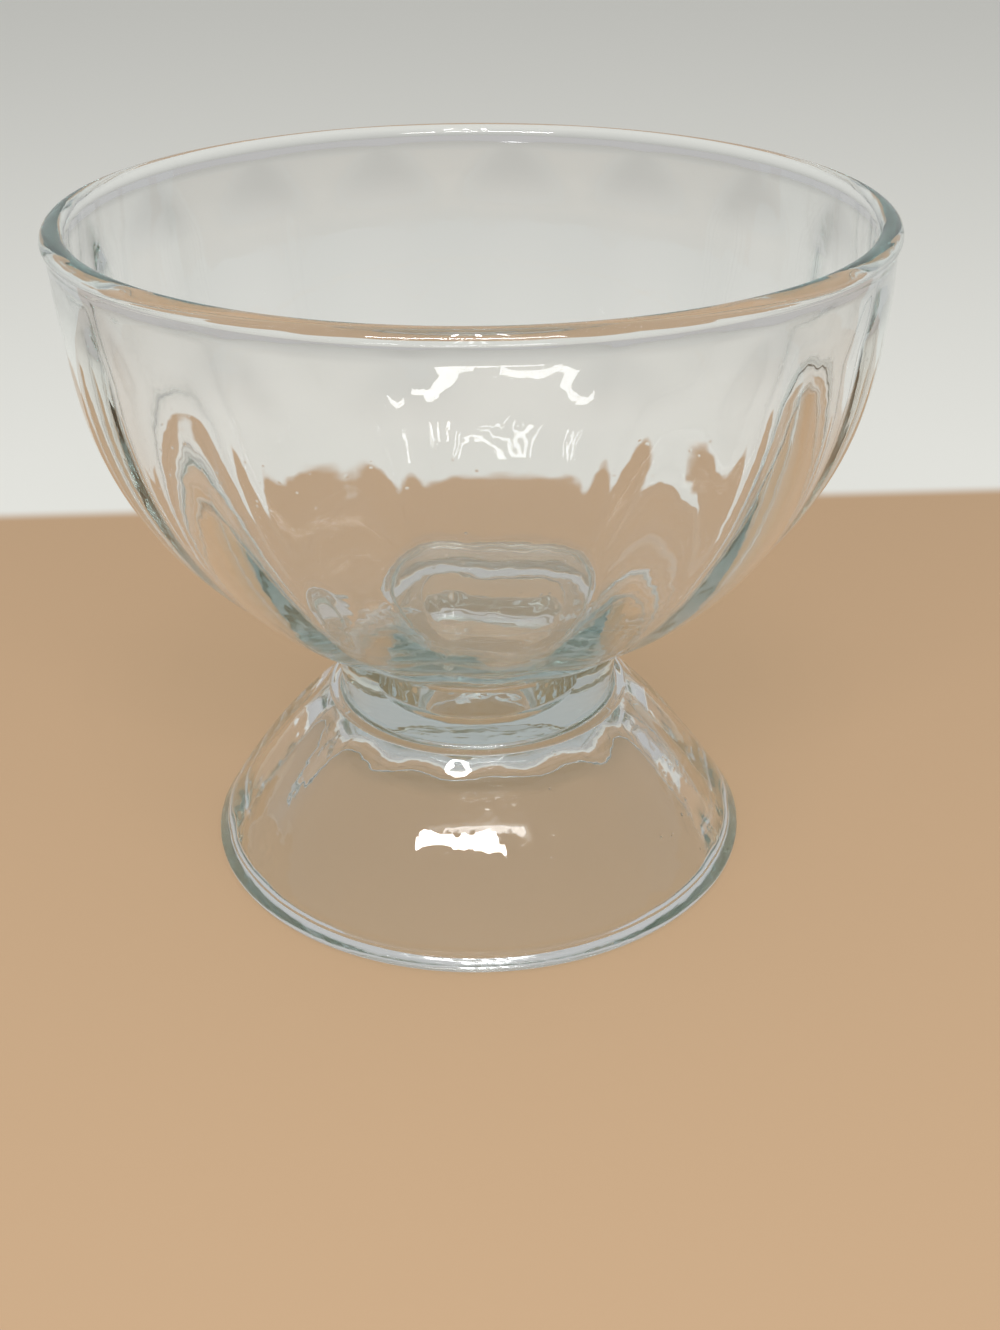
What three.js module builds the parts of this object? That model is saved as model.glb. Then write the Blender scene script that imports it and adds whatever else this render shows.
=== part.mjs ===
// A pressed-glass serving bowl that stands on a separate hollow glass pedestal.
// Millimetres, +Z up. The origin is on the axis, on the surface that the pedestal stands on.
import * as THREE from "three";
import { mergeVertices } from "three/addons/utils/BufferGeometryUtils.js";

// Bowl
const RIM_RADIUS = 110; // outermost point of the lip
const BOWL_HEIGHT = 121; // flat underside to the crest of the lip
const BEAD_RADIUS = 3.3; // round section of the lip
const BEAD_PROUD = 1; // how far the lip stands out from the wall below it
const UPRIGHT_WALL = 8; // height of the wall that stands straight under the lip
const WALL = 5; // glass thickness under the lip
const WALL_SWEEP = 1.16; // exponent that spreads the wall out from the underside
const WALL_CURL = 2.34; // exponent that turns the wall upright
const UNDERSIDE_OVERHANG = 0.8; // underside beyond the collar that carries it
const FLOOR_THICKNESS = 6;
const FLOOR_RADIUS = 40; // flat part of the inside

// Spigot under the bowl, the socket in the collar that takes it, and the well below the socket
const SPIGOT_LENGTH = 3;
const SPIGOT_CHAMFER = 1;
const SPIGOT_SIDE_CLEARANCE = 0.5;
const SPIGOT_END_CLEARANCE = 0.7;
const SEAT_CLEARANCE = 0.3; // underside of the bowl above the top of the collar
const COLLAR_RIM = 4.2; // width of the collar's top round the socket
const WELL_RADIUS = 18;
const WELL_DEPTH = 22; // top of the collar down to the floor of the well
const WELL_CORNER = 5; // rounding at the floor of the well

// Pedestal
const PEDESTAL_HEIGHT = 68.1;
const BASE_RADIUS = 80.3;
const BASE_EDGE = 2.2; // rounding of the outer bottom edge
const FOOT_WALL = 6.5;
const FOOT_BULGE = 3; // how far the bell swells beyond a straight cone
const COLLAR_RADIUS = 40.7;
const COLLAR_HEIGHT = 19.8;
const COLLAR_EDGE = 2; // rounding of the top edge
const COLLAR_STEP = 3.2; // ledge at the crease between bell and collar
const WEB_THICKNESS = 5; // least glass between the well and the hollow underside
const ROOF_DROP = 5; // least drop from the crease to the roof of the hollow
const HOLLOW_CORNER = 9; // rounding where the hollow's side meets its roof

// Panels: shallow hollows round the outside, with arched tops under the lip
const PANEL_COUNT = 16;
const PANEL_TURN = THREE.MathUtils.degToRad(1.7); // first ridge, from the front towards +X
const BOWL_PANEL_DEPTH = 2.2;
const BOWL_ARCH_DROP = 1.5; // foot of the lip down to the tops of the arches
const BOWL_ARCH_HEIGHT = 9;
const FOOT_PANEL_DEPTH = 1.3;
const FOOT_ARCH_RISE = 7; // standing surface up to the ends of the arches
const FOOT_ARCH_HEIGHT = 9;
const PANEL_RUN_OUT = 6; // height over which panels fade in next to the collar

// Facets
const STEPS_PER_PANEL = 4;
const WALL_STEPS = 12;
const UPRIGHT_STEPS = 3;
const FOOT_STEPS = 7;
const BEAD_STEPS = 8;
const EDGE_STEPS = 3;
const MERGE_DISTANCE = 1e-4;

// Heights that follow from the sizes above
const seatZ = PEDESTAL_HEIGHT + SEAT_CLEARANCE;
const crestZ = seatZ + BOWL_HEIGHT;
const socketRadius = COLLAR_RADIUS - COLLAR_RIM;
const spigotRadius = socketRadius - SPIGOT_SIDE_CLEARANCE;
const spigotZ = seatZ - SPIGOT_LENGTH;
const socketZ = spigotZ - SPIGOT_END_CLEARANCE;
const wellZ = Math.min(PEDESTAL_HEIGHT - WELL_DEPTH, socketZ - 2 * WELL_CORNER);
const creaseZ = PEDESTAL_HEIGHT - COLLAR_HEIGHT;
const hollowZ = Math.min(wellZ - WEB_THICKNESS, creaseZ - ROOF_DROP);

const glass = new THREE.MeshStandardMaterial({
  color: 0xdcebe8,
  roughness: 0.04,
  metalness: 0,
  transparent: true,
  opacity: 0.35,
});

// Points of an arc in the profile plane, from one angle to another, ends included
function arc(radius, z, size, fromAngle, toAngle, steps) {
  const points = [];
  for (let i = 0; i <= steps; i += 1) {
    const angle = fromAngle + ((toAngle - fromAngle) * i) / steps;
    points.push(new THREE.Vector2(radius + size * Math.cos(angle), z + size * Math.sin(angle)));
  }
  return points;
}

// Meridian of a bowl wall, from its foot at the floor to its shoulder, where it stands upright
function wallMeridian(fromRadius, fromZ, toRadius, toZ) {
  const points = [];
  for (let i = 0; i <= WALL_STEPS; i += 1) {
    const share = 1 - Math.cos((Math.PI / 2) * (i / WALL_STEPS));
    const spread = (1 - (1 - share) ** WALL_CURL) ** (1 / WALL_SWEEP);
    const radius = fromRadius + (toRadius - fromRadius) * spread;
    points.push(new THREE.Vector2(radius, fromZ + (toZ - fromZ) * share));
  }
  return points;
}

// Turns a profile round the axis and presses the panels into the points that `cutDepth` names.
// cutDepth(radius, z, index) gives a panel's depth there, and how far its arch has closed, from 0 to 1.
function turnWithPanels(profile, cutDepth) {
  const segments = PANEL_COUNT * STEPS_PER_PANEL;
  const geometry = new THREE.LatheGeometry(profile, segments, PANEL_TURN);
  const position = geometry.getAttribute("position");
  for (let i = 0; i < position.count; i += 1) {
    const step = Math.floor(i / profile.length) % STEPS_PER_PANEL;
    const index = i % profile.length;
    const { x: radius, y: z } = profile[index];
    const { depth, closed } = cutDepth(radius, z, index);
    const wave = (1 - Math.cos((2 * Math.PI * step) / STEPS_PER_PANEL)) / 2; // 0 on the ridges, 1 between them
    const cut = Math.max(0, wave - closed) * depth;
    const scale = radius > 0 ? (radius - cut) / radius : 1;
    position.setXYZ(i, position.getX(i) * scale, z, position.getZ(i) * scale);
  }
  return closedSolid(geometry);
}

// Joins the seam and the poles of a lathe, drops the faces that close up there, and stands it upright
function closedSolid(lathe) {
  lathe.deleteAttribute("normal");
  lathe.deleteAttribute("uv");
  const merged = mergeVertices(lathe, MERGE_DISTANCE);
  const faces = merged.getIndex().array;
  const kept = [];
  for (let i = 0; i < faces.length; i += 3) {
    const [a, b, c] = [faces[i], faces[i + 1], faces[i + 2]];
    if (a !== b && b !== c && c !== a) kept.push(a, b, c);
  }
  merged.setIndex(kept);
  merged.rotateX(Math.PI / 2);
  merged.computeVertexNormals();
  return merged;
}

function makeBowl() {
  const undersideRadius = COLLAR_RADIUS + UNDERSIDE_OVERHANG;
  const wallRadius = RIM_RADIUS - BEAD_PROUD;
  const beadZ = crestZ - BEAD_RADIUS;
  const lipFoot = Math.acos(1 - BEAD_PROUD / BEAD_RADIUS); // angle where the lip meets the outside
  const lipInside = Math.acos(Math.max(-1, 1 - (BEAD_PROUD + WALL) / BEAD_RADIUS));
  const lipFootZ = beadZ - BEAD_RADIUS * Math.sin(lipFoot);
  const shoulderZ = lipFootZ - UPRIGHT_WALL;
  const archTopZ = lipFootZ - BOWL_ARCH_DROP;
  const floorZ = seatZ + FLOOR_THICKNESS;

  const spigot = [
    new THREE.Vector2(0, spigotZ),
    new THREE.Vector2(spigotRadius - SPIGOT_CHAMFER, spigotZ),
    new THREE.Vector2(spigotRadius, spigotZ + SPIGOT_CHAMFER),
    new THREE.Vector2(spigotRadius, seatZ),
  ];
  const outside = wallMeridian(undersideRadius, seatZ, wallRadius, shoulderZ);
  for (let i = 1; i < UPRIGHT_STEPS; i += 1) {
    outside.push(new THREE.Vector2(wallRadius, shoulderZ + (UPRIGHT_WALL * i) / UPRIGHT_STEPS));
  }
  const beadCentre = RIM_RADIUS - BEAD_RADIUS;
  const lip = arc(beadCentre, beadZ, BEAD_RADIUS, -lipFoot, 2 * Math.PI - lipInside, BEAD_STEPS);
  const inside = wallMeridian(FLOOR_RADIUS, floorZ, wallRadius - WALL, shoulderZ).reverse();
  const floor = [new THREE.Vector2(0, floorZ)];
  const profile = [...spigot, ...outside, ...lip, ...inside, ...floor];

  const firstPanelPoint = spigot.length;
  const lastPanelPoint = spigot.length + outside.length - 1;
  const geometry = turnWithPanels(profile, (radius, z, index) => {
    const panelled = index >= firstPanelPoint && index <= lastPanelPoint;
    const fadeIn = THREE.MathUtils.smoothstep(z, seatZ, seatZ + PANEL_RUN_OUT);
    const depth = panelled ? (BOWL_PANEL_DEPTH * fadeIn * radius) / wallRadius : 0;
    const closed = THREE.MathUtils.clamp((z - archTopZ) / BOWL_ARCH_HEIGHT + 1, 0, 1);
    return { depth, closed };
  });
  const mesh = new THREE.Mesh(geometry, glass);
  mesh.name = "bowl";
  return mesh;
}

// Outside radius of the bell at a height, from its base edge to the crease under the collar
function bellRadius(z) {
  const share = Math.max(0, z - BASE_EDGE) / (creaseZ - BASE_EDGE);
  const cone = BASE_RADIUS + (COLLAR_RADIUS + COLLAR_STEP - BASE_RADIUS) * share;
  return cone + 4 * FOOT_BULGE * share * (1 - share);
}

// Inside radius of the bell: the outside, less the wall measured level
function hollowRadius(z) {
  const slope = (BASE_RADIUS - COLLAR_RADIUS - COLLAR_STEP) / (creaseZ - BASE_EDGE);
  return bellRadius(z) - FOOT_WALL * Math.hypot(1, slope);
}

function makePedestal() {
  const corner = Math.min(HOLLOW_CORNER, hollowZ / 2);
  const roofCornerZ = hollowZ - corner;
  const roofRadius = hollowRadius(roofCornerZ) - corner;
  const roof = [
    new THREE.Vector2(0, hollowZ),
    ...arc(roofRadius, roofCornerZ, corner, Math.PI / 2, 0, EDGE_STEPS),
  ];
  const hollow = [];
  const outside = [];
  for (let i = 1; i <= FOOT_STEPS; i += 1) {
    const innerZ = roofCornerZ * (1 - i / FOOT_STEPS);
    hollow.push(new THREE.Vector2(hollowRadius(innerZ), innerZ));
    const outerZ = BASE_EDGE + (creaseZ - BASE_EDGE) * (i / FOOT_STEPS);
    outside.push(new THREE.Vector2(bellRadius(outerZ), outerZ));
  }
  const baseEdge = arc(BASE_RADIUS - BASE_EDGE, BASE_EDGE, BASE_EDGE, -Math.PI / 2, 0, EDGE_STEPS);
  const collarEdgeZ = PEDESTAL_HEIGHT - COLLAR_EDGE;
  const collar = [
    new THREE.Vector2(COLLAR_RADIUS, creaseZ),
    ...arc(COLLAR_RADIUS - COLLAR_EDGE, collarEdgeZ, COLLAR_EDGE, 0, Math.PI / 2, EDGE_STEPS),
  ];
  const socket = [
    new THREE.Vector2(socketRadius, PEDESTAL_HEIGHT),
    new THREE.Vector2(socketRadius, socketZ),
    new THREE.Vector2(WELL_RADIUS, socketZ),
  ];
  const well = [
    ...arc(WELL_RADIUS - WELL_CORNER, wellZ + WELL_CORNER, WELL_CORNER, 0, -Math.PI / 2, EDGE_STEPS),
    new THREE.Vector2(0, wellZ),
  ];
  const profile = [...roof, ...hollow, ...baseEdge, ...outside, ...collar, ...socket, ...well];

  const firstPanelPoint = roof.length + hollow.length + baseEdge.length;
  const lastPanelPoint = firstPanelPoint + outside.length - 1;
  const geometry = turnWithPanels(profile, (radius, z, index) => {
    const panelled = index >= firstPanelPoint && index <= lastPanelPoint;
    const fadeOut = THREE.MathUtils.smoothstep(z, creaseZ - PANEL_RUN_OUT, creaseZ);
    const depth = panelled ? FOOT_PANEL_DEPTH * (1 - fadeOut) : 0;
    const closed = THREE.MathUtils.clamp((FOOT_ARCH_RISE - z) / FOOT_ARCH_HEIGHT + 1, 0, 1);
    return { depth, closed };
  });
  const mesh = new THREE.Mesh(geometry, glass);
  mesh.name = "pedestal";
  return mesh;
}

const pedestalBowl = new THREE.Group();
pedestalBowl.name = "pedestal_bowl";
pedestalBowl.add(makePedestal(), makeBowl());

export default pedestalBowl;
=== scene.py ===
# %% [markdown]
# A clear pressed-glass serving bowl on a separate glass pedestal.
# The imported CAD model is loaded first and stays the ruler: every piece below is made in metres, in the
# same frame, with the base ring's resting face at height 0 and the common axis of bowl and pedestal on Z.

# %% Load the frame
import math

import bmesh
import bpy
from mathutils import Matrix, Vector


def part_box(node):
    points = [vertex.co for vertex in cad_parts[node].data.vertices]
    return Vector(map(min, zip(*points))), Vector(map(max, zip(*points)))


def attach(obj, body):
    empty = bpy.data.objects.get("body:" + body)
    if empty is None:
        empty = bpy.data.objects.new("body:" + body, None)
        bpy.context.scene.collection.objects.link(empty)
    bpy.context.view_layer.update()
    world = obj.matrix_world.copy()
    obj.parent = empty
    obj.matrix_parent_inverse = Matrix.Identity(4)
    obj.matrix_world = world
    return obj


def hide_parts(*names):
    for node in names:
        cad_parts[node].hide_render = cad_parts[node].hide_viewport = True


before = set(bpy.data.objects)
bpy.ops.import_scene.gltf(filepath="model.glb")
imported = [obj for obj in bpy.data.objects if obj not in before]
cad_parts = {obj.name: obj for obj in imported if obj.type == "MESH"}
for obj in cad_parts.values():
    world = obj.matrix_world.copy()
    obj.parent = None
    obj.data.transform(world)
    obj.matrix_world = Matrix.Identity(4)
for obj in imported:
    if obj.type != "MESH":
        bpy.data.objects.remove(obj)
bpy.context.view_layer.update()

# %% [markdown]
# The main heights come from the CAD nodes, so the looks can't drift away from the solids.
# The other sizes are the ones a glass maker would note on the drawing of each mould.

# %% Main heights
MM = 0.001
bowl_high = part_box("bowl")[1]
pedestal_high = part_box("pedestal")[1]
crest_z = bowl_high.z
collar_z = pedestal_high.z
print("crest", round(crest_z, 4), "collar", round(collar_z, 4))

# %% [markdown]
# Both mouldings are round, so each one is a profile that is spun about the axis.
# The profile could be a curve with a Screw modifier, but a mesh made with the spin operator can have its
# panels pressed in afterwards. The profile is drawn on the first ridge, a little right of the front.

# %% Helpers that draw and spin a profile
PANEL_COUNT = 16
STEPS_PER_PANEL = 20
FIRST_RIDGE = math.radians(1.7)
MERGE = 0.001 * MM
CORNER_SEGMENTS = 6


def arc_points(centre, radius, start, end, steps):
    """Points of an arc in the profile plane, as (distance from the axis, height), ends included."""
    points = []
    for step in range(steps + 1):
        angle = start + (end - start) * step / steps
        points.append((centre[0] + radius * math.cos(angle), centre[1] + radius * math.sin(angle)))
    return points


def draw_profile(bm, points):
    """Draws a chain of edges through the profile's points, on the first ridge, and gives its vertices."""
    chain = []
    for radius, z in points:
        place = (radius * math.sin(FIRST_RIDGE), -radius * math.cos(FIRST_RIDGE), z)
        chain.append(bm.verts.new(place))
    for start, end in zip(chain, chain[1:]):
        bm.edges.new((start, end))
    return chain


def round_corner(bm, corner, reach, segments=CORNER_SEGMENTS):
    """Rounds a corner of the profile. The rounding starts at the reach from the corner on both sides."""
    bmesh.ops.bevel(
        bm,
        geom=[corner],
        offset=reach,
        offset_type="OFFSET",
        segments=segments,
        profile=0.5,
        affect="VERTICES",
        material=-1,
    )


def spin_profile(bm):
    """Spins the profile once round the axis, closes the seam and the poles, and turns the faces outwards."""
    bmesh.ops.spin(
        bm,
        geom=bm.verts[:] + bm.edges[:],
        cent=(0, 0, 0),
        axis=(0, 0, 1),
        angle=math.tau,
        steps=PANEL_COUNT * STEPS_PER_PANEL,
        use_merge=True,
    )
    bmesh.ops.remove_doubles(bm, verts=bm.verts[:], dist=MERGE)
    bmesh.ops.dissolve_degenerate(bm, edges=bm.edges[:], dist=MERGE)
    bmesh.ops.recalc_face_normals(bm, faces=bm.faces[:])


# %% [markdown]
# The panels are shallow hollows in the outside, which the mould leaves with soft ridges between them.
# They could be cut with sixteen cutters, but a cut has sharp edges and no arched ends. Here each point of
# the outside moves inwards by a smooth wave: nothing on a ridge, the full depth in the middle of a panel.

# %% Helper that presses the panels
ARCH_SOFTNESS = 0.12


def ramp(value, start, end):
    """A smooth step from 0 at the start to 1 at the end."""
    share = min(1, max(0, (value - start) / (end - start)))
    return share * share * (3 - 2 * share)


def panel_share(place):
    """How deep a point lies in its panel, from 0 on a soft ridge to 1 in the middle."""
    angle = math.atan2(place.x, -place.y) - FIRST_RIDGE
    return (1 - math.cos(PANEL_COUNT * angle)) / 2


def press_panels(bm, cut_at):
    """Moves points inwards. cut_at(radius, z) gives the depth there and how far the arch has closed."""
    moved = 0
    for vert in bm.verts:
        radius = vert.co.xy.length
        depth, closed = cut_at(radius, vert.co.z)
        if depth <= 0:
            continue
        open_share = panel_share(vert.co) - closed
        cut = depth * (open_share + math.hypot(open_share, ARCH_SOFTNESS)) / 2
        vert.co.xy *= (radius - cut) / radius
        moved += 1
    print("pressed", moved, "points")


# %% [markdown]
# A finished piece is a mesh object at the origin with smooth shading. Subdivision would choke on the many
# spokes at the poles, so the profile is drawn fine enough instead, and a Weighted Normal modifier keeps the
# flats flat next to their rounded corners. The piece rides on its CAD body and stands for its node.

# %% Helper that finishes a piece
FLAT_WEIGHT = 80


def finish_piece(bm, name, node):
    """Makes the mesh an object that replaces its CAD node."""
    mesh = bpy.data.meshes.new(name)
    bm.to_mesh(mesh)
    bm.free()
    mesh.polygons.foreach_set("use_smooth", [True] * len(mesh.polygons))
    piece = bpy.data.objects.new(name, mesh)
    bpy.context.scene.collection.objects.link(piece)
    polish = piece.modifiers.new("fire_polish", "WEIGHTED_NORMAL")
    polish.weight = FLAT_WEIGHT
    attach(piece, node)
    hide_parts(node)
    print(name, len(mesh.vertices), "points")
    return piece


# %% [markdown]
# The bowl's wall rises from its flat underside and turns upright under the lip. A quarter ellipse is too
# round for it, so two exponents shape the curve: one spreads the wall out low down, one turns it upright.

# %% The bowl's wall
RIM_RADIUS = 110 * MM
BEAD_RADIUS = 3.3 * MM
BEAD_PROUD = 1 * MM
UPRIGHT_WALL = 8 * MM
WALL = 5 * MM
WALL_SWEEP = 1.16
WALL_CURL = 2.34
WALL_STEPS = 40
FLOOR_THICKNESS = 6 * MM
FLOOR_RADIUS = 40 * MM
UNDERSIDE_RADIUS = 41.5 * MM
SPIGOT_LENGTH = 3 * MM
SEAT_CLEARANCE = 0.3 * MM

seat_z = collar_z + SEAT_CLEARANCE
spigot_z = seat_z - SPIGOT_LENGTH
floor_z = seat_z + FLOOR_THICKNESS
wall_radius = RIM_RADIUS - BEAD_PROUD
bead_centre = (RIM_RADIUS - BEAD_RADIUS, crest_z - BEAD_RADIUS)
lip_foot = math.acos(1 - BEAD_PROUD / BEAD_RADIUS)
lip_foot_z = bead_centre[1] - BEAD_RADIUS * math.sin(lip_foot)
shoulder_z = lip_foot_z - UPRIGHT_WALL


def meridian_radius(z, foot, shoulder):
    """Distance from the axis of a wall that runs from its foot to its shoulder, each (distance, height)."""
    share = min(1, max(0, (z - foot[1]) / (shoulder[1] - foot[1])))
    spread = (1 - (1 - share) ** WALL_CURL) ** (1 / WALL_SWEEP)
    return foot[0] + (shoulder[0] - foot[0]) * spread


def meridian(foot, shoulder):
    """Points of a wall from its foot to its shoulder, closer together near the foot."""
    points = []
    for step in range(WALL_STEPS + 1):
        share = 1 - math.cos(math.pi / 2 * step / WALL_STEPS)
        z = foot[1] + (shoulder[1] - foot[1]) * share
        points.append((meridian_radius(z, foot, shoulder), z))
    return points


outer_foot = (UNDERSIDE_RADIUS, seat_z)
outer_shoulder = (wall_radius, shoulder_z)
inner_foot = (FLOOR_RADIUS, floor_z)
inner_shoulder = (wall_radius - WALL, shoulder_z)
outer_wall = meridian(outer_foot, outer_shoulder)
inner_wall = meridian(inner_foot, inner_shoulder)
print("wall from height", round(seat_z, 4), "to", round(shoulder_z, 4))

# %% [markdown]
# Under the floor a wide shallow spigot sits in the pedestal's collar. Above the wall the lip is a bead.
# The profile is drawn with plain corners, and the bevel operator then rounds those of the spigot and runs
# the lip into the wall.

# %% The bowl
SPIGOT_RADIUS = 36 * MM
SPIGOT_ROUND = 1 * MM
SEAT_ROUND = 0.6 * MM
LIP_BLEND = 2.3 * MM
LIP_END = math.radians(184)
BEAD_STEPS = 24
UPRIGHT_STEPS = 2
BOWL_PANEL_DEPTH = 2.2 * MM
BOWL_ARCH_DROP = 1.5 * MM
BOWL_ARCH_HEIGHT = 15 * MM
BOWL_RUN_OUT = 6 * MM

spigot = [(0, spigot_z), (SPIGOT_RADIUS, spigot_z), (SPIGOT_RADIUS, seat_z)]
upright = [
    (wall_radius, shoulder_z + UPRIGHT_WALL * step / UPRIGHT_STEPS) for step in range(1, UPRIGHT_STEPS + 1)
]
lip = arc_points(bead_centre, BEAD_RADIUS, 0, LIP_END, BEAD_STEPS)
bowl_profile = spigot + outer_wall + upright + lip + inner_wall[::-1] + [(0, floor_z)]


def bowl_cut(radius, z):
    """Depth of the bowl's panels on the outside of its wall, and how far their arched tops have closed."""
    middle = meridian_radius(z, outer_foot, outer_shoulder) + meridian_radius(z, inner_foot, inner_shoulder)
    if z <= seat_z or z >= lip_foot_z or radius < middle / 2:
        return 0, 0
    arch_top = lip_foot_z - BOWL_ARCH_DROP
    closed = min(1, max(0, (z - arch_top) / BOWL_ARCH_HEIGHT + 1))
    return BOWL_PANEL_DEPTH * ramp(z, seat_z, seat_z + BOWL_RUN_OUT) * radius / wall_radius, closed


bowl_mesh = bmesh.new()
bowl_chain = draw_profile(bowl_mesh, bowl_profile)
spigot_edge, spigot_root = bowl_chain[1:len(spigot)]
lip_corner = bowl_chain[len(spigot) + len(outer_wall) + len(upright) - 1]
round_corner(bowl_mesh, spigot_edge, SPIGOT_ROUND)
round_corner(bowl_mesh, spigot_root, SEAT_ROUND)
round_corner(bowl_mesh, lip_corner, LIP_BLEND)
spin_profile(bowl_mesh)
press_panels(bowl_mesh, bowl_cut)
bowl_piece = finish_piece(bowl_mesh, "bowl_glass", "bowl")

# %% [markdown]
# The pedestal is a hollow bell with a thick base ring, a step at the top of the bell and a collar with
# the socket for the spigot. Its outside has the same soft panels, which run out above the base ring.

# %% The pedestal
BASE_RADIUS = 80.3 * MM
BASE_EDGE = 2.2 * MM
FOOT_WALL = 6.5 * MM
FOOT_BULGE = 3 * MM
COLLAR_RADIUS = 40.7 * MM
COLLAR_HEIGHT = 19.8 * MM
COLLAR_EDGE = 2 * MM
COLLAR_STEP = 3.2 * MM
LEDGE_ROUND = 0.8 * MM
CREASE_ROUND = 1.5 * MM
SOCKET_RADIUS = 36.5 * MM
SOCKET_DEPTH = 3.7 * MM
WELL_RADIUS = 18 * MM
WELL_DEPTH = 22 * MM
WELL_CORNER = 5 * MM
WEB_THICKNESS = 5 * MM
HOLLOW_CORNER = 9 * MM
HOLLOW_SEGMENTS = 12
CORNERS_LEFT_FREE = 1.2
WELL_SEGMENTS = 8
RIM_ROUND = 0.6 * MM
BASE_EDGE_END = math.radians(24)
BASE_EDGE_STEPS = 8
FOOT_STEPS = 26
FIRST_BELL_STEP = 2
FOOT_PANEL_DEPTH = 1.3 * MM
FOOT_RUN_OUT = 6 * MM
FOOT_ARCH_RISE = 7 * MM
FOOT_ARCH_HEIGHT = 9 * MM

crease_z = collar_z - COLLAR_HEIGHT
socket_z = collar_z - SOCKET_DEPTH
well_z = collar_z - WELL_DEPTH
hollow_z = well_z - WEB_THICKNESS
bell_slope = (BASE_RADIUS - COLLAR_RADIUS - COLLAR_STEP) / (crease_z - BASE_EDGE)


def bell_radius(z):
    """Outside of the bell at a height."""
    share = max(0, z - BASE_EDGE) / (crease_z - BASE_EDGE)
    cone = BASE_RADIUS + (COLLAR_RADIUS + COLLAR_STEP - BASE_RADIUS) * share
    return cone + 4 * FOOT_BULGE * share * (1 - share)


def hollow_radius(z):
    """Inside of the bell: the outside less the wall, measured level."""
    return bell_radius(z) - FOOT_WALL * math.hypot(1, bell_slope)


# The wall's first point stays further from the roof than the rounded corner reaches.
hollow_top = hollow_z - CORNERS_LEFT_FREE * HOLLOW_CORNER
hollow = [(0, hollow_z), (hollow_radius(hollow_z), hollow_z)]
for step in range(FOOT_STEPS):
    z = hollow_top * (1 - step / FOOT_STEPS)
    hollow.append((hollow_radius(z), z))
edge_centre = (BASE_RADIUS - BASE_EDGE, BASE_EDGE)
base_ring = [(hollow_radius(0), 0)]
base_ring += arc_points(edge_centre, BASE_EDGE, -math.pi / 2, BASE_EDGE_END, BASE_EDGE_STEPS)
bell = []
for step in range(FIRST_BELL_STEP, FOOT_STEPS + 1):
    z = BASE_EDGE + (crease_z - BASE_EDGE) * step / FOOT_STEPS
    bell.append((bell_radius(z), z))
collar = [
    (COLLAR_RADIUS, crease_z),
    (COLLAR_RADIUS, collar_z),
    (SOCKET_RADIUS, collar_z),
    (SOCKET_RADIUS, socket_z),
    (WELL_RADIUS, socket_z),
    (WELL_RADIUS, well_z),
    (0, well_z),
]
pedestal_profile = hollow + base_ring + bell + collar


def bell_cut(radius, z):
    """Depth of the bell's panels on its outside, and how far their arched ends have closed."""
    middle = (bell_radius(z) + hollow_radius(z)) / 2
    if z <= BASE_EDGE or z >= crease_z or radius < middle:
        return 0, 0
    closed = min(1, max(0, (FOOT_ARCH_RISE - z) / FOOT_ARCH_HEIGHT + 1))
    return FOOT_PANEL_DEPTH * (1 - ramp(z, crease_z - FOOT_RUN_OUT, crease_z)), closed


pedestal_mesh = bmesh.new()
pedestal_chain = draw_profile(pedestal_mesh, pedestal_profile)
roof_corner = pedestal_chain[1]
base_inner_edge = pedestal_chain[len(hollow)]
ledge_edge = pedestal_chain[-len(collar) - 1]
crease, collar_edge, socket_edge, socket_root, well_edge, well_corner = pedestal_chain[-len(collar):-1]
round_corner(pedestal_mesh, roof_corner, HOLLOW_CORNER, HOLLOW_SEGMENTS)
round_corner(pedestal_mesh, base_inner_edge, RIM_ROUND)
round_corner(pedestal_mesh, ledge_edge, LEDGE_ROUND)
round_corner(pedestal_mesh, crease, CREASE_ROUND)
round_corner(pedestal_mesh, collar_edge, COLLAR_EDGE)
for corner in (socket_edge, socket_root, well_edge):
    round_corner(pedestal_mesh, corner, RIM_ROUND)
round_corner(pedestal_mesh, well_corner, WELL_CORNER, WELL_SEGMENTS)
spin_profile(pedestal_mesh)
press_panels(pedestal_mesh, bell_cut)
pedestal_piece = finish_piece(pedestal_mesh, "pedestal_glass", "pedestal")

# %% [markdown]
# Pressed glass is never optically flat: the mould chills it into long soft waves, and use leaves fine
# haze and pits. The waves and the wear are the same on both mouldings, so they are one node group that
# each material gets with its own values.

# %% Node group: chilled waves and wear
BOWL_SURFACE = {"Wave Scale": 40, "Wave Height": 1, "Pit Scale": 240, "Pit Depth": 0.08, "Haze": 0.02}
PEDESTAL_SURFACE = {"Wave Scale": 55, "Wave Height": 2.5, "Pit Scale": 180, "Pit Depth": 0.4, "Haze": 0.07}
WAVE_DETAIL = 3
PIT_CORE = 0.05
PIT_EDGE = 0.12
PIT_HAZE = 0.25
CLOUD_SCALE = 25
CLOUD_DETAIL = 4
WORN_START = 0.5
WORN_FULL = 0.62

pressed = bpy.data.node_groups.new("pressed_surface", "ShaderNodeTree")
for name, value in BOWL_SURFACE.items():
    made = pressed.interface.new_socket(name, in_out="INPUT", socket_type="NodeSocketFloat")
    made.default_value = value
pressed.interface.new_socket("Height", in_out="OUTPUT", socket_type="NodeSocketFloat")
pressed.interface.new_socket("Roughness", in_out="OUTPUT", socket_type="NodeSocketFloat")


def add_node(tree, kind, **settings):
    """Adds a node and sets its own properties."""
    node = tree.nodes.new(kind)
    for name, value in settings.items():
        setattr(node, name, value)
    return node


def math_node(tree, operation, first, second):
    """Adds a Math node. Each of its two inputs is a socket or a number."""
    node = add_node(tree, "ShaderNodeMath", operation=operation)
    for place, value in zip(node.inputs, (first, second)):
        if isinstance(value, (int, float)):
            place.default_value = value
        else:
            tree.links.new(value, place)
    return node.outputs[0]


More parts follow.
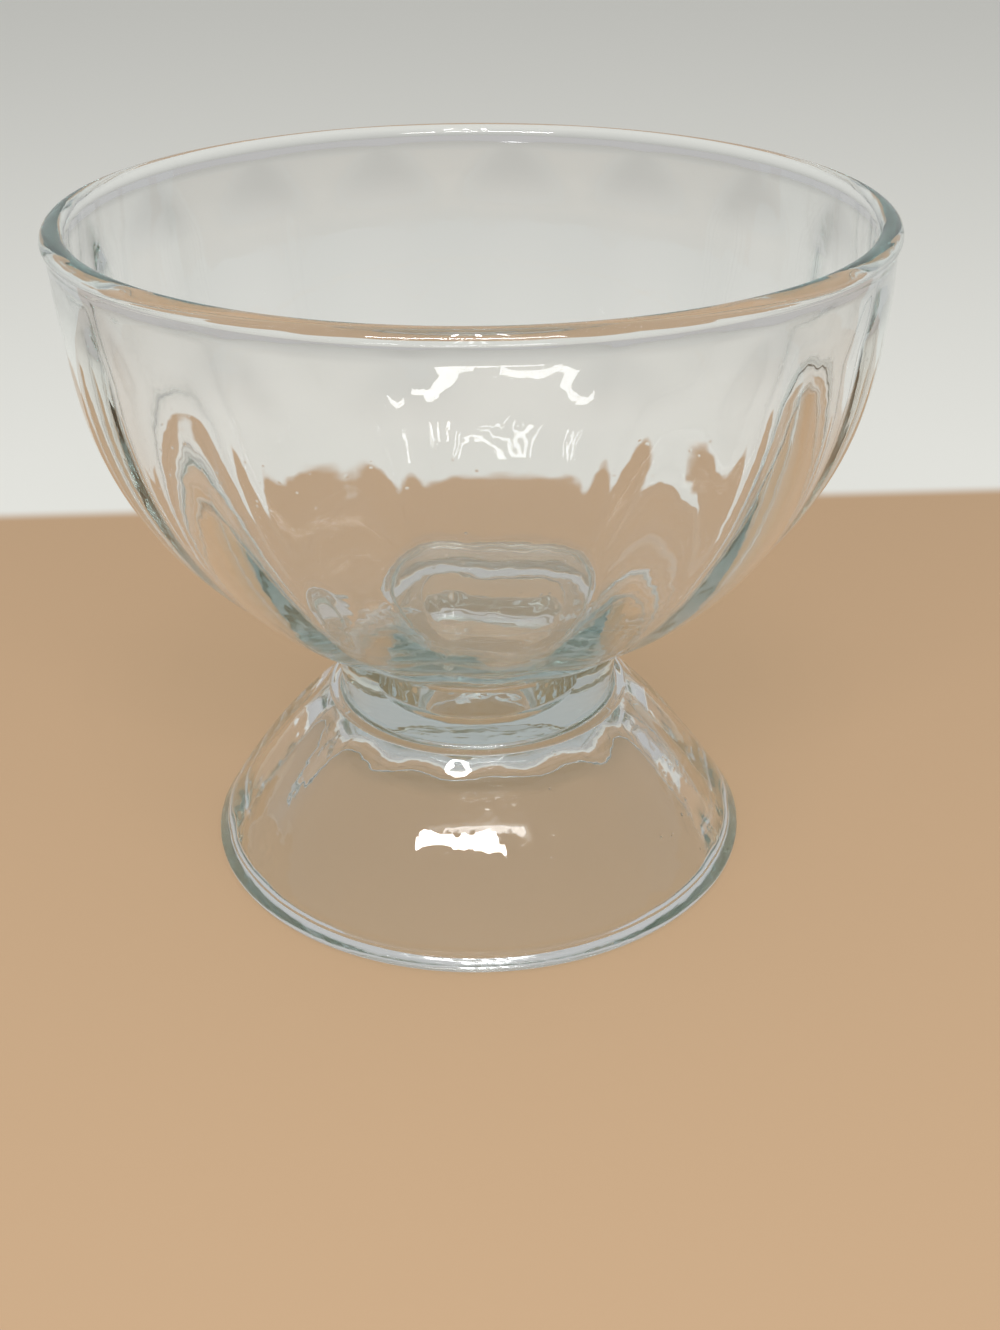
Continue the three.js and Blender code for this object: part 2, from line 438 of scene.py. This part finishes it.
inside = add_node(pressed, "NodeGroupInput").outputs
place = add_node(pressed, "ShaderNodeTexCoord").outputs["Object"]
waves = add_node(pressed, "ShaderNodeTexNoise")
waves.inputs["Detail"].default_value = WAVE_DETAIL
pressed.links.new(place, waves.inputs["Vector"])
pressed.links.new(inside["Wave Scale"], waves.inputs["Scale"])
pits = add_node(pressed, "ShaderNodeTexVoronoi")
pressed.links.new(place, pits.inputs["Vector"])
pressed.links.new(inside["Pit Scale"], pits.inputs["Scale"])
pit_mask = add_node(pressed, "ShaderNodeMapRange")
pit_mask.inputs["From Min"].default_value = PIT_CORE
pit_mask.inputs["From Max"].default_value = PIT_EDGE
pit_mask.inputs["To Min"].default_value = 1
pit_mask.inputs["To Max"].default_value = 0
pressed.links.new(pits.outputs["Distance"], pit_mask.inputs["Value"])
clouds = add_node(pressed, "ShaderNodeTexNoise")
clouds.inputs["Scale"].default_value = CLOUD_SCALE
clouds.inputs["Detail"].default_value = CLOUD_DETAIL
pressed.links.new(place, clouds.inputs["Vector"])
worn = add_node(pressed, "ShaderNodeMapRange")
worn.inputs["From Min"].default_value = WORN_START
worn.inputs["From Max"].default_value = WORN_FULL
pressed.links.new(clouds.outputs["Fac"], worn.inputs["Value"])
pit_here = math_node(pressed, "MULTIPLY", pit_mask.outputs["Result"], worn.outputs["Result"])
wave_height = math_node(pressed, "MULTIPLY", waves.outputs["Fac"], inside["Wave Height"])
pit_depth = math_node(pressed, "MULTIPLY", pit_here, inside["Pit Depth"])
height = math_node(pressed, "SUBTRACT", wave_height, pit_depth)
cloudy = math_node(pressed, "MULTIPLY", clouds.outputs["Fac"], inside["Haze"])
pit_haze = math_node(pressed, "MULTIPLY", pit_here, PIT_HAZE)
roughness = math_node(pressed, "ADD", cloudy, pit_haze)
outside = add_node(pressed, "NodeGroupOutput").inputs
pressed.links.new(height, outside["Height"])
pressed.links.new(roughness, outside["Roughness"])
print("group", pressed.name, "has", len(pressed.nodes), "nodes")

# %% [markdown]
# The glass itself is clear and only faintly blue-green: the tint shows where light runs a long way
# through it, as in the lip, the base ring and the thick neck. A tinted surface would colour thin and
# thick glass alike, so the colour is a plain absorbing volume. Rays that only carry light to the floor
# pass straight through, so that the floor under the bell is lit as under real glass.

# %% Glass materials
GLASS_IOR = 1.52
TINT = (0.3, 0.52, 0.5, 1)
TINT_DENSITY = 6
WAVE_DISTANCE = 0.15 * MM
SHADOW_TINT = (0.9, 0.91, 0.91, 1)


def make_glass(name, surface_values):
    """Clear pressed glass with its own waves and wear."""
    glass = bpy.data.materials.new(name)
    glass.use_nodes = True
    tree = glass.node_tree
    shader = tree.nodes["Principled BSDF"]
    shader.inputs["Base Color"].default_value = (1, 1, 1, 1)
    shader.inputs["Transmission Weight"].default_value = 1
    shader.inputs["IOR"].default_value = GLASS_IOR
    surface = add_node(tree, "ShaderNodeGroup", node_tree=pressed)
    for socket, value in surface_values.items():
        surface.inputs[socket].default_value = value
    relief = add_node(tree, "ShaderNodeBump")
    relief.inputs["Strength"].default_value = 1
    relief.inputs["Distance"].default_value = WAVE_DISTANCE
    tree.links.new(surface.outputs["Height"], relief.inputs["Height"])
    tree.links.new(relief.outputs["Normal"], shader.inputs["Normal"])
    tree.links.new(surface.outputs["Roughness"], shader.inputs["Roughness"])
    ray = add_node(tree, "ShaderNodeLightPath")
    through = add_node(tree, "ShaderNodeBsdfTransparent")
    through.inputs["Color"].default_value = SHADOW_TINT
    shown = shader.outputs["BSDF"]
    for kind in ("Is Shadow Ray", "Is Diffuse Ray"):
        choice = add_node(tree, "ShaderNodeMixShader")
        tree.links.new(ray.outputs[kind], choice.inputs[0])
        tree.links.new(shown, choice.inputs[1])
        tree.links.new(through.outputs["BSDF"], choice.inputs[2])
        shown = choice.outputs["Shader"]
    tree.links.new(shown, tree.nodes["Material Output"].inputs["Surface"])
    volume = add_node(tree, "ShaderNodeVolumeAbsorption")
    volume.inputs["Color"].default_value = TINT
    volume.inputs["Density"].default_value = TINT_DENSITY
    tree.links.new(volume.outputs["Volume"], tree.nodes["Material Output"].inputs["Volume"])
    return glass


bowl_piece.data.materials.append(make_glass("bowl_glass", BOWL_SURFACE))
pedestal_piece.data.materials.append(make_glass("pedestal_glass", PEDESTAL_SURFACE))
print("glass index", GLASS_IOR)

# %% [markdown]
# Clear glass shows mostly what is round it. The floor is a plain warm beige under the bowl and turns to a
# paler grey behind it, which gives the glass a light and a dark side to bend.

# %% Floor
FLOOR_HALF = 4
FLOOR_SQUARES = 8
FLOOR_GAP = 0.2 * MM
FLOOR_NEAR = (0.52, 0.35, 0.21, 1)
FLOOR_FAR = (0.82, 0.82, 0.77, 1)
NEAR_EDGE = 0.238
FAR_EDGE = 0.252
FLOOR_ROUGHNESS = 0.8
FLOOR_GLOSS = 0.2

floor_mesh = bmesh.new()
bmesh.ops.create_grid(floor_mesh, x_segments=FLOOR_SQUARES, y_segments=FLOOR_SQUARES, size=FLOOR_HALF)
bmesh.ops.translate(floor_mesh, verts=floor_mesh.verts[:], vec=(0, 0, -FLOOR_GAP))
floor_data = bpy.data.meshes.new("studio_floor")
floor_mesh.to_mesh(floor_data)
floor_mesh.free()
floor_piece = bpy.data.objects.new("studio_floor", floor_data)
bpy.context.scene.collection.objects.link(floor_piece)

floor_paint = bpy.data.materials.new("studio_floor")
floor_paint.use_nodes = True
tree = floor_paint.node_tree
place = add_node(tree, "ShaderNodeTexCoord").outputs["Object"]
away = add_node(tree, "ShaderNodeSeparateXYZ")
tree.links.new(place, away.inputs["Vector"])
fade = add_node(tree, "ShaderNodeMapRange", interpolation_type="SMOOTHSTEP")
fade.inputs["From Min"].default_value = NEAR_EDGE
fade.inputs["From Max"].default_value = FAR_EDGE
tree.links.new(away.outputs["Y"], fade.inputs["Value"])
colour = add_node(tree, "ShaderNodeMix", data_type="RGBA")
colour.inputs["A"].default_value = FLOOR_NEAR
colour.inputs["B"].default_value = FLOOR_FAR
tree.links.new(fade.outputs["Result"], colour.inputs["Factor"])
shader = tree.nodes["Principled BSDF"]
shader.inputs["Roughness"].default_value = FLOOR_ROUGHNESS
shader.inputs["Specular IOR Level"].default_value = FLOOR_GLOSS
tree.links.new(colour.outputs["Result"], shader.inputs["Base Color"])
floor_data.materials.append(floor_paint)
print("floor of", len(floor_data.polygons), "squares")

# %% [markdown]
# The room is a soft grey world: brightest overhead, a little dimmer at the horizon and dimmest below it,
# so that the glass has quiet reflections as well as the bright ones of the lamps. Each level below goes
# with a direction, from 0 straight down to 1 straight up.

# %% World
ROOM_LEVELS = ((0.0, 0.6), (0.5, 0.8), (0.75, 0.88), (1.0, 0.9))
ROOM_STRENGTH = 0.62

room = bpy.data.worlds.new("studio_room")
bpy.context.scene.world = room
room.use_nodes = True
tree = room.node_tree
direction = add_node(tree, "ShaderNodeTexCoord").outputs["Generated"]
split = add_node(tree, "ShaderNodeSeparateXYZ")
tree.links.new(direction, split.inputs["Vector"])
lift = add_node(tree, "ShaderNodeMapRange")
lift.inputs["From Min"].default_value = -1
lift.inputs["From Max"].default_value = 1
tree.links.new(split.outputs["Z"], lift.inputs["Value"])
levels = add_node(tree, "ShaderNodeValToRGB")
while len(levels.color_ramp.elements) < len(ROOM_LEVELS):
    levels.color_ramp.elements.new(0.5)
for element, (position, level) in zip(levels.color_ramp.elements, ROOM_LEVELS):
    element.position = position
    element.color = (level, level, level, 1)
tree.links.new(lift.outputs["Result"], levels.inputs["Fac"])
tree.links.new(levels.outputs["Color"], tree.nodes["Background"].inputs["Color"])
tree.nodes["Background"].inputs["Strength"].default_value = ROOM_STRENGTH
print("room levels", len(ROOM_LEVELS))

# %% [markdown]
# A wide slim panel above and behind the camera gives the main light, and shows on the bell and under the
# lip. Three tubes high up give small marks in the bowl and sparks along the lip.

# %% Lamps
LAMP_DISTANCE = 1.6
LAMP_AIM = Vector((0, 0, 0.1))
PANEL_HEIGHT = 42
PANEL_SIDEWAYS = -0.1
PANEL_SIZE = (1.2, 0.1)
PANEL_WATTS = 17
TUBE_COUNT = 3
TUBE_PITCH = 0.11
TUBE_HEIGHT = 65
TUBE_SIZE = (0.03, 0.35)
TUBE_WATTS = 1.5


def add_lamp(name, place, size, watts):
    """A rectangular lamp at a place, turned to face the bowl. Its size is its width and its depth."""
    data = bpy.data.lights.new(name, "AREA")
    data.shape = "RECTANGLE"
    data.size, data.size_y = size
    data.energy = watts
    lamp = bpy.data.objects.new(name, data)
    lamp.location = place
    lamp.rotation_euler = (LAMP_AIM - place).to_track_quat("-Z", "Y").to_euler()
    bpy.context.scene.collection.objects.link(lamp)


def place_at(height, sideways):
    """A place in front of the bowl, at a height above the horizon in degrees."""
    angle = math.radians(height)
    away = Vector((0, -math.cos(angle), math.sin(angle)))
    return LAMP_AIM + LAMP_DISTANCE * away + Vector((sideways, 0, 0))


add_lamp("window_panel", place_at(PANEL_HEIGHT, PANEL_SIDEWAYS), PANEL_SIZE, PANEL_WATTS)
for tube in range(TUBE_COUNT):
    sideways = (tube - (TUBE_COUNT - 1) / 2) * TUBE_PITCH
    add_lamp(f"tube_{tube + 1}", place_at(TUBE_HEIGHT, sideways), TUBE_SIZE, TUBE_WATTS)
print("lamps", 1 + TUBE_COUNT)

# %% [markdown]
# The camera stands where the photo was taken: its place, turn and lens were fitted to the outlines of the
# lip, the neck and the base ring.

# %% Camera
CAMERA_PLACE = (-18.4 * MM, -432.9 * MM, 290.4 * MM)
CAMERA_DOWN = math.radians(28.783)
CAMERA_RIGHT = math.radians(3.323)
CAMERA_ROLL = math.radians(-0.207)
LENS_LENGTH = 44.66
SENSOR_WIDTH = 36

lens = bpy.data.cameras.new("photo_camera")
lens.lens = LENS_LENGTH
lens.sensor_width = SENSOR_WIDTH
camera = bpy.data.objects.new("photo_camera", lens)
turn = Matrix.Rotation(-CAMERA_RIGHT, 4, "Z") @ Matrix.Rotation(math.pi / 2 - CAMERA_DOWN, 4, "X")
camera.matrix_world = Matrix.Translation(CAMERA_PLACE) @ turn @ Matrix.Rotation(CAMERA_ROLL, 4, "Z")
bpy.context.scene.collection.objects.link(camera)
bpy.context.scene.camera = camera
print("camera at", [round(value, 4) for value in CAMERA_PLACE])

# %% [markdown]
# Light runs a long way inside the wall before it gets out, as in a light guide. With few bounces those
# spots turn black, and with many they show the blue-green of the glass. Caustics stay off, because the
# shadow and diffuse rays already pass straight through.

# %% View and light paths
LIGHT_BOUNCES = 96

scene = bpy.context.scene
scene.view_settings.view_transform = "Standard"
scene.cycles.max_bounces = LIGHT_BOUNCES
scene.cycles.transmission_bounces = LIGHT_BOUNCES
scene.cycles.glossy_bounces = LIGHT_BOUNCES
scene.cycles.transparent_max_bounces = LIGHT_BOUNCES
scene.cycles.caustics_refractive = False
scene.cycles.caustics_reflective = False
print("light bounces", LIGHT_BOUNCES)
